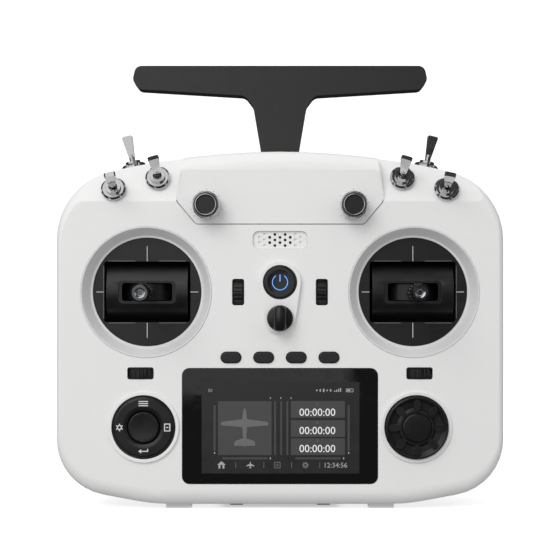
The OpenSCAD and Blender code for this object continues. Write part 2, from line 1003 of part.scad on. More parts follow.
// Right half of the T, drawn from its foot upwards; the two halves meet at x = 0
module antenna_outline() {
    tip_low = antenna_top - 9.4;
    arm_low = antenna_top - 12;
    offset(r = -3.5)
        offset(delta = 3.5)
            offset(r = 3)
                offset(delta = -3)
                    for (side = [-1, 1])
                        polygon([[0, antenna_hinge_z], [side * 6.4, antenna_hinge_z], [side * 7.6, 138],
                            [side * 10.8, 157], [side * 14, arm_low], [side * (antenna_half_w - 2), tip_low],
                            [side * antenna_half_w, antenna_top - 5.5], [side * (antenna_half_w - 1.2), antenna_top],
                            [0, antenna_top]]);
}

module antenna() {
    color("#1a1a1b")
        difference() {
            union() {
                translate([0, antenna_y + antenna_t / 2, 0])
                    rotate([90, 0, 0])
                        linear_extrude(antenna_t)
                            antenna_outline();
                translate([-6.4, antenna_y, antenna_hinge_z])
                    rotate([0, 90, 0])
                        cylinder(h = 12.8, r = antenna_t / 2);
            }
            translate([-10, antenna_y, antenna_hinge_z])
                rotate([0, 90, 0])
                    cylinder(h = 20, r = 1.5 + run);
        }
}

module antenna_bracket() {
    color("#1f1f21")
        difference() {
            union() {
                translate([-11, rear_y, antenna_hinge_z - 7])
                    cube([22, 0.7, 12]);
                for (side = [-1, 1])
                    translate([side * 8.9 - 1.9, rear_y, antenna_hinge_z - 5])
                        cube([3.8, antenna_y - rear_y, 10]);
                for (side = [-1, 1])
                    translate([side * 8.9 - 1.9, antenna_y, antenna_hinge_z])
                        rotate([0, 90, 0])
                            cylinder(h = 3.8, r = 5);
            }
            translate([-12, antenna_y, antenna_hinge_z])
                rotate([0, 90, 0])
                    cylinder(h = 24, r = 1.5);
        }
}

module antenna_pin() {
    color("silver")
        translate([-10.8, antenna_y, antenna_hinge_z])
            rotate([0, 90, 0])
                cylinder(h = 21.6, r = 1.5);
}

// ---- Battery ----

module battery_cells() {
    color("#3f7f5f")
        for (side = [-1, 1])
            translate([side * cell_x, cell_y, cell_z])
                union() {
                    cylinder(h = cell_len, r = cell_r);
                    translate([0, 0, cell_len])
                        cylinder(h = 1, r = 3);
                }
}

module battery_door() {
    color("whitesmoke")
        union() {
            translate([-bay_half_w - 2, bay_back - door_t, door_hinge_z])
                cube([2 * bay_half_w + 4, door_t, bay_high + 2 - door_hinge_z]);
            translate([-bay_half_w - 2, bay_back - door_hinge_r, door_hinge_z])
                rotate([0, 90, 0])
                    cylinder(h = 2 * bay_half_w + 4, r = door_hinge_r);
            translate([-bay_half_w - 3.6, bay_back - door_hinge_r, door_hinge_z])
                rotate([0, 90, 0])
                    cylinder(h = 2 * bay_half_w + 7.2, r = 0.6);
        }
}

front_shell();
rear_shell();
top_fascia();
centre_plinth();
speaker_grille();
speaker_driver();
screen_glass();
lcd_module();
main_board();
dial_bezels();
nav_rocker();
nav_ring();
nav_button();
encoder_wheel();
encoder_button();
gimbal_bezels();
gimbal_plates();
gimbal_frames();
gimbal_bearings();
gimbal_shield(-1);  // gimbal_shield_left
gimbal_shield(1);  // gimbal_shield_right
gimbal_yoke(-1);  // gimbal_yoke_left
gimbal_yoke(1);  // gimbal_yoke_right
stick_shaft(-1);  // stick_shaft_left
stick_shaft(1);  // stick_shaft_right
stick_tip(-1);  // stick_tip_left
stick_tip(1);  // stick_tip_right
trim_wheel(0);  // trim_wheel_left_v
trim_wheel(1);  // trim_wheel_right_v
trim_wheel(2);  // trim_wheel_left_h
trim_wheel(3);  // trim_wheel_right_h
trim_frames();
soft_key(0);  // soft_key_1
soft_key(1);  // soft_key_2
soft_key(2);  // soft_key_3
soft_key(3);  // soft_key_4
power_button();
function_knob();
pot_knob(-1);  // pot_knob_left
pot_knob(1);  // pot_knob_right
pot_collars();
pot_bodies();
toggle_lever(0, 0);  // toggle_lever_a
toggle_lever(1, -lever_throw);  // toggle_lever_b
toggle_lever(2, -lever_throw);  // toggle_lever_c
toggle_lever(3, 0);  // toggle_lever_d
toggle_lever(4, 0);  // toggle_lever_e
toggle_lever(5, 0);  // toggle_lever_f
toggle_nuts();
toggle_bodies();
antenna();
antenna_bracket();
antenna_pin();
feet();
port_cover();
jack_socket();
battery_cells();
battery_door();
rear_grips();
screws();
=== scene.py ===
"""A compact two-stick radio transmitter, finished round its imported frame. Lengths are in metres."""
import json
from math import cos, pi, radians, sin, sqrt, tan

import bmesh
import bpy
from mathutils import Matrix, Vector

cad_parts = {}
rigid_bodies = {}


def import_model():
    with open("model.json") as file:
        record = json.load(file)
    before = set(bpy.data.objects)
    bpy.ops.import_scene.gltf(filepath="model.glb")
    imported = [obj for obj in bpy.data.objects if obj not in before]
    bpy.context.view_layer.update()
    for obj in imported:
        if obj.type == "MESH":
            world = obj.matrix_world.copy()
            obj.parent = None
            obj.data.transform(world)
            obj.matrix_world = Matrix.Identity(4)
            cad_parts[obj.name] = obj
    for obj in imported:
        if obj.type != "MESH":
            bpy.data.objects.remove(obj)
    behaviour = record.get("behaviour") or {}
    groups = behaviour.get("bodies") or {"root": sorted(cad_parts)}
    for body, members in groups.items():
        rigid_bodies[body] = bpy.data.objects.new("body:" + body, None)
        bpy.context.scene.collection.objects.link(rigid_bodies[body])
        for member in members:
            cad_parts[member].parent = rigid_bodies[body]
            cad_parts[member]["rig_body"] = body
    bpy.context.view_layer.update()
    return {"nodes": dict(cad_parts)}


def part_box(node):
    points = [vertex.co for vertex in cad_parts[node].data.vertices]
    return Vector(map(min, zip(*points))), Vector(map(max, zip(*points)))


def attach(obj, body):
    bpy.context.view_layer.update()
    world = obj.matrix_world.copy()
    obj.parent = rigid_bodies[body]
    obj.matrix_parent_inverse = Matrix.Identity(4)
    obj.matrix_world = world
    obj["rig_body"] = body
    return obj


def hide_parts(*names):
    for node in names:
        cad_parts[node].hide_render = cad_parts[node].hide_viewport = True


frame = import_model()
nodes = frame["nodes"]
scene = bpy.context.scene
mm = 0.001

# ---------------------------------------------------------------------------
# Table, light and camera. The transmitter stands upright on a white sweep,
# lit by a wide soft box from the upper left and a weaker one on the right.
# ---------------------------------------------------------------------------
FACE_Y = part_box("top_fascia")[0][1]
VIEW_DISTANCE = 0.501
VIEW_HEIGHT = 0.08706


def sweep(depth, rise, half_width, bend):
    """Floor that turns up into a backdrop in one smooth curve."""
    profile = [(-depth, 0.0), (depth - bend, 0.0)]
    turns = [a * pi / 24 for a in range(1, 13)]
    profile += [(depth - bend + bend * sin(a), bend - bend * cos(a)) for a in turns]
    profile.append((depth, rise))
    mesh = bpy.data.meshes.new("sweep")
    verts = [(side * half_width, y, z) for y, z in profile for side in (-1, 1)]
    faces = [(2 * i, 2 * i + 1, 2 * i + 3, 2 * i + 2) for i in range(len(profile) - 1)]
    mesh.from_pydata(verts, [], faces)
    obj = bpy.data.objects.new("sweep", mesh)
    scene.collection.objects.link(obj)
    for polygon in mesh.polygons:
        polygon.use_smooth = True
    return obj


paper = bpy.data.materials.new("white paper")
paper.use_nodes = True
paper_shader = paper.node_tree.nodes["Principled BSDF"]
paper_shader.inputs["Base Color"].default_value = (0.9, 0.9, 0.9, 1)
paper_shader.inputs["Roughness"].default_value = 0.9
paper_shader.inputs["Emission Color"].default_value = (1, 1, 1, 1)
paper_shader.inputs["Emission Strength"].default_value = 0.5
floor = sweep(1.6, 2.4, 2.2, 0.5)
floor.data.materials.append(paper)
floor.visible_glossy = False
floor.visible_diffuse = False

world = bpy.data.worlds.new("studio")
world.use_nodes = True
sky = world.node_tree
direction = sky.nodes.new("ShaderNodeTexCoord")
upward = sky.nodes.new("ShaderNodeSeparateXYZ")
sky_level = sky.nodes.new("ShaderNodeMapRange")
sky_level.inputs["From Min"].default_value = -0.12
sky_level.inputs["From Max"].default_value = 0.35
sky_level.inputs["To Min"].default_value = 0.485
sky_level.inputs["To Max"].default_value = 0.70
sky.links.new(direction.outputs["Generated"], upward.inputs["Vector"])
sky.links.new(upward.outputs["Z"], sky_level.inputs["Value"])
ray = sky.nodes.new("ShaderNodeLightPath")
seen_in_gloss = sky.nodes.new("ShaderNodeMapRange")
seen_in_gloss.inputs["To Min"].default_value = 1.0
seen_in_gloss.inputs["To Max"].default_value = 0.07
sky.links.new(ray.outputs["Is Glossy Ray"], seen_in_gloss.inputs["Value"])
sky_strength = sky.nodes.new("ShaderNodeMath")
sky_strength.operation = "MULTIPLY"
sky.links.new(sky_level.outputs["Result"], sky_strength.inputs[0])
sky.links.new(seen_in_gloss.outputs["Result"], sky_strength.inputs[1])
sky.links.new(sky_strength.outputs[0], sky.nodes["Background"].inputs["Strength"])
sky.nodes["Background"].inputs["Color"].default_value = (1.0, 1.0, 1.0, 1)
scene.world = world


def soft_box(name, place, size, watts):
    """Square area light aimed at the middle of the case."""
    data = bpy.data.lights.new(name, "AREA")
    data.size = size
    data.energy = watts
    lamp = bpy.data.objects.new(name, data)
    lamp.location = place
    aim = Vector((0, 0, 0.08)) - Vector(place)
    lamp.rotation_euler = aim.to_track_quat("-Z", "Y").to_euler()
    scene.collection.objects.link(lamp)


soft_box("key_light", (-0.75, -1.25, 1.15), 1.1, 15)
soft_box("fill_light", (1.1, -1.1, 0.5), 1.0, 1)
soft_box("top_light", (0.0, 0.3, 1.5), 1.0, 1)

# Grey card beside the camera, seen only in reflections: black parts shine on the left and stay
# dark on the right
card_mesh = bpy.data.meshes.new("card")
card_outline = [(-1.5, -0.0065), (0.0496, 0.0009), (0.0704, 0.087), (0.06, 0.35), (0.0, 1.3), (-1.5, 1.3)]
card_verts = [(x, FACE_Y - VIEW_DISTANCE, z) for x, z in card_outline]
card_mesh.from_pydata(card_verts, [], [range(len(card_verts))])
card = bpy.data.objects.new("card", card_mesh)
scene.collection.objects.link(card)
card_paint = bpy.data.materials.new("grey card")
card_paint.use_nodes = True
card_shader = card_paint.node_tree.nodes["Principled BSDF"]
card_shader.inputs["Base Color"].default_value = (0, 0, 0, 1)
card_shader.inputs["Specular IOR Level"].default_value = 0.0
card_shader.inputs["Emission Color"].default_value = (1, 1, 1, 1)
card_shader.inputs["Emission Strength"].default_value = 0.8
card_mesh.materials.append(card_paint)
card.visible_camera = False
card.visible_diffuse = False
card.visible_transmission = False
card.visible_shadow = False

camera_data = bpy.data.cameras.new("camera")
camera_data.lens = 85.3
camera_data.sensor_width = 36
camera_data.clip_start = 0.05
camera = bpy.data.objects.new("camera", camera_data)
camera.location = (0.0, FACE_Y - VIEW_DISTANCE, VIEW_HEIGHT)
camera.rotation_euler = (radians(90), 0, 0)
scene.collection.objects.link(camera)
scene.camera = camera
scene.view_settings.view_transform = "Standard"

# ---------------------------------------------------------------------------
# The case: two moulded shells of white ABS with a fine spark-eroded texture,
# held together by four screws from the back. All their edges are rounded.
# ---------------------------------------------------------------------------
SHELL_EDGE = 0.35 * mm
CASE_WHITE = (0.845, 0.843, 0.838, 1)
SEAT_BLEND = 1.2 * mm
SEAT_LOWEST = 0.11
SEAT_SHORTEST = 8 * mm


def shader_group(name, inputs, outputs):
    """Empty shader node group with named sockets, and its two end nodes."""
    group = bpy.data.node_groups.new(name, "ShaderNodeTree")
    for label, kind, value in inputs:
        group.interface.new_socket(name=label, in_out="INPUT", socket_type=kind).default_value = value
    for label, kind in outputs:
        group.interface.new_socket(name=label, in_out="OUTPUT", socket_type=kind)
    return group, group.nodes.new("NodeGroupInput"), group.nodes.new("NodeGroupOutput")


def noise(tree, coords, scale, detail=3.0):
    """Noise texture read in the object's own space, or at a linked scale."""
    node = tree.nodes.new("ShaderNodeTexNoise")
    node.inputs["Detail"].default_value = detail
    tree.links.new(coords, node.inputs["Vector"])
    if isinstance(scale, (int, float)):
        node.inputs["Scale"].default_value = scale
    else:
        tree.links.new(scale, node.inputs["Scale"])
    return node.outputs["Fac"]


def mapped(tree, value, low, high, to_low=0.0, to_high=1.0):
    """Map Range node; any of the four limits may be a number or a socket."""
    node = tree.nodes.new("ShaderNodeMapRange")
    tree.links.new(value, node.inputs["Value"])
    for label, limit in (("From Min", low), ("From Max", high), ("To Min", to_low), ("To Max", to_high)):
        if isinstance(limit, (int, float)):
            node.inputs[label].default_value = limit
        else:
            tree.links.new(limit, node.inputs[label])
    return node.outputs["Result"]


def blended(tree, factor, first, second, mode="MIX"):
    """Colour mix node."""
    node = tree.nodes.new("ShaderNodeMix")
    node.data_type = "RGBA"
    node.blend_type = mode
    for label, value in ((0, factor), (6, first), (7, second)):
        if isinstance(value, (int, float)):
            node.inputs[label].default_value = value
        elif isinstance(value, tuple):
            node.inputs[label].default_value = value
        else:
            tree.links.new(value, node.inputs[label])
    return node.outputs[2]


def arithmetic(tree, operation, first, second):
    """Math node on two sockets or numbers."""
    node = tree.nodes.new("ShaderNodeMath")
    node.operation = operation
    for index, value in enumerate((first, second)):
        if isinstance(value, (int, float)):
            node.inputs[index].default_value = value
        else:
            tree.links.new(value, node.inputs[index])
    return node.outputs[0]


def build_moulded_skin():
    """Moulded plastic: fine texture, faint flow mottle, and edges lightened to another tone, partly rub wear
    and partly a painted edge highlight.
    """
    group, start, end = shader_group("moulded skin", [
        ("Colour", "NodeSocketColor", (0.8, 0.8, 0.8, 1)),
        ("Edge colour", "NodeSocketColor", (0.9, 0.9, 0.9, 1)),
        ("Edge amount", "NodeSocketFloat", 0.3),
        ("Roughness", "NodeSocketFloat", 0.5),
        ("Grain scale", "NodeSocketFloat", 4000.0),
        ("Grain depth", "NodeSocketFloat", 0.2),
        ("Mottle", "NodeSocketFloat", 0.04)], [
        ("Colour", "NodeSocketColor"), ("Roughness", "NodeSocketFloat"), ("Normal", "NodeSocketVector")])
    coords = group.nodes.new("ShaderNodeTexCoord").outputs["Object"]
    grain = noise(group, coords, start.outputs["Grain scale"], 2.0)
    cloud = noise(group, coords, 45.0, 4.0)
    smear = noise(group, coords, 210.0, 3.0)
    # Painted edge highlight and rub wear: where a slightly rounded normal differs from the true one
    bevel = group.nodes.new("ShaderNodeBevel")
    bevel.samples = 4
    bevel.inputs["Radius"].default_value = 0.25 * mm
    plain = group.nodes.new("ShaderNodeNewGeometry").outputs["Normal"]
    dot = group.nodes.new("ShaderNodeVectorMath")
    dot.operation = "DOT_PRODUCT"
    group.links.new(bevel.outputs["Normal"], dot.inputs[0])
    group.links.new(plain, dot.inputs[1])
    edge = mapped(group, dot.outputs["Value"], 0.995, 0.9)
    edge = arithmetic(group, "MULTIPLY", edge, mapped(group, smear, 0.3, 0.7))
    edge = arithmetic(group, "MULTIPLY", edge, start.outputs["Edge amount"])
    tone = arithmetic(group, "MULTIPLY", arithmetic(group, "SUBTRACT", cloud, 0.5), start.outputs["Mottle"])
    shade = mapped(group, tone, -0.5, 0.5, 0.5, 1.5)
    grey = group.nodes.new("ShaderNodeCombineColor")
    for channel in ("Red", "Green", "Blue"):
        group.links.new(shade, grey.inputs[channel])
    colour = blended(group, 1.0, start.outputs["Colour"], grey.outputs["Color"], "MULTIPLY")
    # Mixes the painted edge highlight and rub wear into the colour
    colour = blended(group, edge, colour, start.outputs["Edge colour"])
    group.links.new(colour, end.inputs["Colour"])
    rough = arithmetic(group, "ADD", start.outputs["Roughness"], mapped(group, smear, 0.3, 0.7, -0.05, 0.05))
    group.links.new(rough, end.inputs["Roughness"])
    bump = group.nodes.new("ShaderNodeBump")
    bump.inputs["Distance"].default_value = 0.05 * mm
    group.links.new(start.outputs["Grain depth"], bump.inputs["Strength"])
    group.links.new(grain, bump.inputs["Height"])
    group.links.new(bump.outputs["Normal"], end.inputs["Normal"])
    return group


moulded_skin = build_moulded_skin()


def surface(name, group, values, **shader_values):
    """Principled material fed by one of the shared groups; the other values stay on its own sockets."""
    material = bpy.data.materials.new(name)
    material.use_nodes = True
    tree = material.node_tree
    shader = tree.nodes["Principled BSDF"]
    skin = tree.nodes.new("ShaderNodeGroup")
    skin.node_tree = group
    for label, value in values.items():
        skin.inputs[label].default_value = value
    for label, socket in (("Colour", "Base Color"), ("Roughness", "Roughness"), ("Normal", "Normal"),
                          ("Metallic", "Metallic"), ("Glow", "Emission Color")):
        if label in skin.outputs:
            tree.links.new(skin.outputs[label], shader.inputs[socket])
    for label, value in shader_values.items():
        shader.inputs[label.replace("_", " ")].default_value = value
    material.diffuse_color = values.get("Colour", (0.5, 0.5, 0.5, 1))
    return material


def plastic(name, colour, edge, edge_wear_and_highlight, rough, grain_scale=3200.0, grain_depth=0.25, mottle=0.05):
    """Moulded plastic, lightened to the edge colour along its corners: rub wear with a painted edge
    highlight.
    """
    return surface(name, moulded_skin, {
        "Colour": colour, "Edge colour": edge, "Edge amount": edge_wear_and_highlight, "Roughness": rough,
        "Grain scale": grain_scale, "Grain depth": grain_depth, "Mottle": mottle})


def finish_mesh(obj, material, smooth_angle=35):
    """Gives a new piece its material and smooth shading with sharp corners kept."""
    obj.data.materials.clear()
    obj.data.materials.append(material)
    for polygon in obj.data.polygons:
        polygon.use_smooth = True
    obj.data.set_sharp_from_angle(angle=radians(smooth_angle))


def rounded_copy(node, material, width, segments=2, limit=30):
    """The node's own shape with every hard edge rounded; stands for the node and rides on its body."""
    source = nodes[node]
    mesh = source.data.copy()
    piece = bpy.data.objects.new(node + "_finished", mesh)
    scene.collection.objects.link(piece)
    work = bmesh.new()
    work.from_mesh(mesh)
    bmesh.ops.remove_doubles(work, verts=work.verts, dist=0.002 * mm)
    bmesh.ops.dissolve_limit(work, angle_limit=radians(0.3), verts=work.verts, edges=work.edges)
    work.to_mesh(mesh)
    work.free()
    finish_mesh(piece, material, limit)
    bevel = piece.modifiers.new("rounded edges", "BEVEL")
    bevel.width = width
    bevel.segments = segments
    bevel.limit_method = "ANGLE"
    bevel.angle_limit = radians(limit)
    bevel.harden_normals = False
    bevel.miter_outer = "MITER_ARC"
    flat = piece.modifiers.new("flat faces", "WEIGHTED_NORMAL")
    flat.keep_sharp = True
    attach(piece, source["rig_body"])
    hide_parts(node)
    return piece


case_white = plastic("case white", CASE_WHITE, (0.90, 0.90, 0.895, 1), 0.35, 0.46, 2600.0, 0.22, 0.03)
front = rounded_copy("front_shell", case_white, SHELL_EDGE)
rounded_copy("rear_shell", case_white, SHELL_EDGE)

# The slanted switch seats blend softly into the control face
work = bmesh.new()
work.from_mesh(front.data)
crease = []
for edge in work.edges:
    on_front = all(abs(v.co.y - FACE_Y) < 0.05 * mm for v in edge.verts)
    level = abs(edge.verts[0].co.z - edge.verts[1].co.z) < 0.02 * mm
    if on_front and level and edge.calc_length() > SEAT_SHORTEST and edge.verts[0].co.z > SEAT_LOWEST:
        crease.append(edge)
bmesh.ops.bevel(work, geom=crease, offset=SEAT_BLEND, offset_type="OFFSET", segments=5, profile=0.5,
                affect="EDGES", clamp_overlap=True)
work.to_mesh(front.data)
work.free()
finish_mesh(front, case_white, 30)
for panel in ("top_fascia", "centre_plinth", "speaker_grille", "dial_bezels", "feet", "battery_door"):
    rounded_copy(panel, case_white, 0.15 * mm)

# ---------------------------------------------------------------------------
# Gimbals. Each sits behind a sloping ring of satin white plastic. A black
# plate with a printed cross and a window covers the turning shield and yoke.
# ---------------------------------------------------------------------------
SATIN_BLACK = (0.0084, 0.0084, 0.0091, 1)
# Lighter black for the edges: rub wear and painted edge highlight
BLACK_EDGE_WEAR_AND_HIGHLIGHT = (0.075, 0.075, 0.08, 1)
LINE_WIDTH = 0.22 * mm
CROSS_LONG = 5.7 * mm
CROSS_SHORT = 2.9 * mm
CROSS_UP = 14.6 * mm
CROSS_OUT = 18.0 * mm
CUT_HIGHLIGHT_LINE = 0.16 * mm
CUT_UP = 11.8 * mm
CUT_OUT = 16.55 * mm
CUT_RUN = 10.2 * mm
CUT_RUN_MIDDLE = 9.6 * mm
CUT_UPRIGHT = 20.0 * mm


def middle(node):
    """Centre of a node's box at rest."""
    low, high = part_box(node)
    return (Vector(low) + Vector(high)) / 2


def body_of(node):
    """Moving body that a node belongs to."""
    return nodes[node]["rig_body"]


def bar(x, z, width, height):
    """Outline of a bar centred at x, z."""
    w, h = width / 2, height / 2
    return [(x - w, z - h), (x + w, z - h), (x + w, z + h), (x - w, z + h)]


def arc_band(x, z, inner, outer, start, stop, steps=32):
    """Outlines that make up a curved band, one for each step."""
    angles = [radians(start + (stop - start) * i / steps) for i in range(steps + 1)]
    return [[(x + r * cos(a), z + r * sin(a))
             for r, a in ((inner, a0), (outer, a0), (outer, a1), (inner, a1))]
            for a0, a1 in zip(angles, angles[1:])]


def built(name, work):
    """Piece made from a finished bmesh, with its faces turned outward."""
    bmesh.ops.recalc_face_normals(work, faces=work.faces)
    mesh = bpy.data.meshes.new(name)
    work.to_mesh(mesh)
    work.free()
    piece = bpy.data.objects.new(name, mesh)
    scene.collection.objects.link(piece)
    return piece


def frame_bars(x, z, width, height, line):
    """Four bars that draw a rectangle."""
    return [bar(x, z + height / 2, width + line, line), bar(x, z - height / 2, width + line, line),
            bar(x - width / 2, z, line, height - line), bar(x + width / 2, z, line, height - line)]


def printed(name, outlines, front_y, material, body="root", thickness=0.04 * mm):
    """Thin print or inlay that faces the front: one closed plate for each outline."""
    work = bmesh.new()
    for outline in outlines:
        front = [work.verts.new((x, front_y, z)) for x, z in outline]
        back = [work.verts.new((x, front_y + thickness, z)) for x, z in outline]
        work.faces.new(front)
        work.faces.new(back[::-1])
        for i in range(len(outline)):
            j = (i + 1) % len(outline)
            work.faces.new((front[j], front[i], back[i], back[j]))
    piece = built(name, work)
    piece.data.materials.append(material)
    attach(piece, body)
    return piece


# Same white plastic as the case, painted darker as shade in the sunk funnel round each gimbal
shaded_dish_white = plastic("dish white, painted shade", (0.74, 0.74, 0.745, 1), (0.85, 0.85, 0.85, 1), 0.4, 0.36,
                     3200.0, 0.10, 0.03)
black_plate = plastic("gimbal black", SATIN_BLACK, BLACK_EDGE_WEAR_AND_HIGHLIGHT, 0.5, 0.42, 3600.0, 0.30, 0.25)
black_shield = plastic("shield black", (0.007, 0.007, 0.0075, 1), (0.12, 0.12, 0.125, 1), 0.6, 0.36,
                       3000.0, 0.20, 0.3)
print_white = plastic("printed line", (0.72, 0.73, 0.74, 1), (0.5, 0.5, 0.5, 1), 0.1, 0.5, 5200.0, 0.10, 0.2)
# Grey for the painted highlight along the cut edge of each gimbal window
painted_cut_highlight = plastic("painted cut highlight", (0.20, 0.20, 0.21, 1), (0.5, 0.5, 0.5, 1), 0.4, 0.3, 5200.0, 0.2, 0.5)
inner_grey = plastic("inner grey", (0.16, 0.165, 0.175, 1), (0.25, 0.25, 0.26, 1), 0.3, 0.5)

rounded_copy("gimbal_bezels", shaded_dish_white, 0.12 * mm)
rounded_copy("gimbal_plates", black_plate, 0.18 * mm)
rounded_copy("gimbal_frames", inner_grey, 0.3 * mm)
for side, name in ((-1, "left"), (1, "right")):
    rounded_copy("gimbal_shield_" + name, black_shield, 0.2 * mm)
    rounded_copy("gimbal_yoke_" + name, black_shield, 0.2 * mm)
    hub = middle("gimbal_shield_" + name)
    plate_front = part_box("gimbal_plates")[0][1]
    marks = [bar(hub.x, hub.z + end * CROSS_UP, LINE_WIDTH, CROSS_LONG) for end in (-1, 1)]
    marks += [bar(hub.x + end * CROSS_OUT, hub.z, CROSS_SHORT, LINE_WIDTH) for end in (-1, 1)]
    printed("gimbal_cross_" + name, marks, plate_front - 0.02 * mm, print_white)
    # Fine painted highlight along the edge where the window is cut, broken in the middle where the frame's
    # bars stand
    edges = [bar(hub.x + start * CUT_RUN_MIDDLE, hub.z + end * CUT_UP, CUT_RUN, CUT_HIGHLIGHT_LINE)
             for end in (-1, 1) for start in (-1, 1)]
    edges.append(bar(hub.x + side * CUT_OUT, hub.z, CUT_HIGHLIGHT_LINE, CUT_UPRIGHT))
    printed("gimbal_cut_highlight_" + name, edges, plate_front - 0.015 * mm, painted_cut_highlight)

# ---------------------------------------------------------------------------
# Metal: plated brass toggles, collars and nuts, turned steel shafts and pins,
# and anodised aluminium stick ends with a knurl.
# ---------------------------------------------------------------------------


def build_metal_skin():
    """Metal: brushing or turning marks, finger smudges and a faint tone change."""
    group, start, end = shader_group("metal skin", [
        ("Colour", "NodeSocketColor", (0.7, 0.7, 0.72, 1)),
        ("Roughness", "NodeSocketFloat", 0.12),
        ("Smudge", "NodeSocketFloat", 0.08),
        ("Mark scale", "NodeSocketFloat", 3000.0),
        ("Mark depth", "NodeSocketFloat", 0.05)], [
        ("Colour", "NodeSocketColor"), ("Roughness", "NodeSocketFloat"), ("Normal", "NodeSocketVector")])
    coords = group.nodes.new("ShaderNodeTexCoord").outputs["Object"]
    squash = group.nodes.new("ShaderNodeMapping")
    squash.inputs["Scale"].default_value = (0.15, 1.0, 1.0)
    group.links.new(coords, squash.inputs["Vector"])
    marks = noise(group, squash.outputs["Vector"], start.outputs["Mark scale"], 2.0)
    smudge = noise(group, coords, 320.0, 4.0)
    dirt = mapped(group, smudge, 0.35, 0.75)
    colour = blended(group, arithmetic(group, "MULTIPLY", dirt, 0.25), start.outputs["Colour"],
                     (0.42, 0.42, 0.43, 1))
    group.links.new(colour, end.inputs["Colour"])
    rough = arithmetic(group, "ADD", start.outputs["Roughness"],
                       arithmetic(group, "MULTIPLY", dirt, start.outputs["Smudge"]))
    group.links.new(rough, end.inputs["Roughness"])
    bump = group.nodes.new("ShaderNodeBump")
    bump.inputs["Distance"].default_value = 0.03 * mm
    group.links.new(start.outputs["Mark depth"], bump.inputs["Strength"])
    group.links.new(marks, bump.inputs["Height"])
    group.links.new(bump.outputs["Normal"], end.inputs["Normal"])
    return group


metal_skin = build_metal_skin()


def metal(name, colour, rough, smudge=0.08, mark_scale=3000.0, mark_depth=0.08):
    """Plated, turned or anodised metal with handling marks."""
    return surface(name, metal_skin, {"Colour": colour, "Roughness": rough, "Smudge": smudge,
                                      "Mark scale": mark_scale, "Mark depth": mark_depth}, Metallic=1.0)


chrome = metal("chrome plate", (0.68, 0.68, 0.69, 1), 0.07, 0.10, 2200.0, 0.04)
turned_steel = metal("turned steel", (0.58, 0.58, 0.60, 1), 0.22, 0.10, 4200.0, 0.25)
silver_tip = metal("silver stick end", (0.80, 0.81, 0.83, 1), 0.12, 0.08, 4800.0, 0.12)
dark_tip = metal("dark stick end", (0.10, 0.103, 0.11, 1), 0.16, 0.08, 4800.0, 0.15)

for letter in "abcdef":
    rounded_copy("toggle_lever_" + letter, chrome, 0.35 * mm, 3)
rounded_copy("toggle_nuts", chrome, 0.15 * mm)
rounded_copy("toggle_bodies", chrome, 0.12 * mm)
rounded_copy("pot_collars", chrome, 0.08 * mm)
for node in ("gimbal_bearings", "antenna_pin", "pot_bodies"):
    rounded_copy(node, turned_steel, 0.1 * mm)
for node in ("stick_shaft_left", "stick_shaft_right"):
    rounded_copy(node, dark_tip, 0.1 * mm)
for name in ("left", "right"):
    rounded_copy("stick_tip_" + name, dark_tip, 0.08 * mm)

# ---------------------------------------------------------------------------
# Black controls: pots, function knob, trim wheels in their frames and the
# four soft keys, all moulded in black with a satin or soft-touch surface.
# ---------------------------------------------------------------------------
control_black = plastic("control black", SATIN_BLACK, (0.11, 0.11, 0.115, 1), 0.6, 0.33, 3000.0, 0.20, 0.3)
key_black = plastic("key rubber", (0.014, 0.014, 0.0145, 1), (0.08, 0.08, 0.08, 1), 0.4, 0.55,
                    3600.0, 0.35, 0.3)
frame_black = plastic("trim frame black", (0.012, 0.012, 0.013, 1), (0.06, 0.06, 0.06, 1), 0.3, 0.5)
GRIP_HALF_WIDTH = 2.4
GRIP_REACH = 4.6
GRIP_ARCH = 1.3
GRIP_FOOT = 3.3
GRIP_CUTS = 24


def turned(name, centre, profile, material, body="root", steps=96):
    """Solid or ring turned round a line that faces front. Profile points are a radius and a height over
    the face, both in millimetres."""
    work = bmesh.new()
    loops = []
    for r, height in profile:
        y = FACE_Y - height * mm
        if r == 0:
            loops.append([work.verts.new((centre.x, y, centre.z))] * steps)
        else:
            turns = [2 * pi * i / steps for i in range(steps)]
            places = [(centre.x + r * mm * cos(a), y, centre.z + r * mm * sin(a)) for a in turns]
            loops.append([work.verts.new(place) for place in places])
    pairs = list(zip(loops, loops[1:]))
    if profile[0][0] > 0:
        pairs.append((loops[-1], loops[0]))
    for first, second in pairs:
        for i in range(steps):
            corners = list(dict.fromkeys((first[i], first[i - 1], second[i - 1], second[i])))
            if len(corners) > 2:
                work.faces.new(corners)
    piece = built(name, work)
    finish_mesh(piece, material, 38)
    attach(piece, body)
    return piece


# Each pot: a satin cap with a shallow hollow, a plated ring let into its rim, and a black skirt
for name in ("left", "right"):
    node = "pot_knob_" + name
    low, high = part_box(node)
    skirt = (high[0] - low[0]) / 2 / mm
    top = (FACE_Y - low[1]) / mm
    cap = turned(node + "_finished", middle(node), [
        (0, top - 0.25), (3.2, top - 0.25), (3.4, top - 0.05), (3.55, top), (skirt - 0.45, top),
        (skirt - 0.3, top - 0.05), (skirt - 0.05, top - 0.45), (skirt, top - 0.65), (skirt, 0.4), (2, 0.4),
        (2, -6), (0, -6)], control_black, body_of(node))
    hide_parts(node)
    turned("pot_rim_" + name, middle(node), [
        (3.62, top - 0.2), (3.62, top - 0.02), (3.72, top + 0.05), (3.92, top + 0.05), (4.02, top - 0.02),
        (4.02, top - 0.2)], chrome, body_of(node))

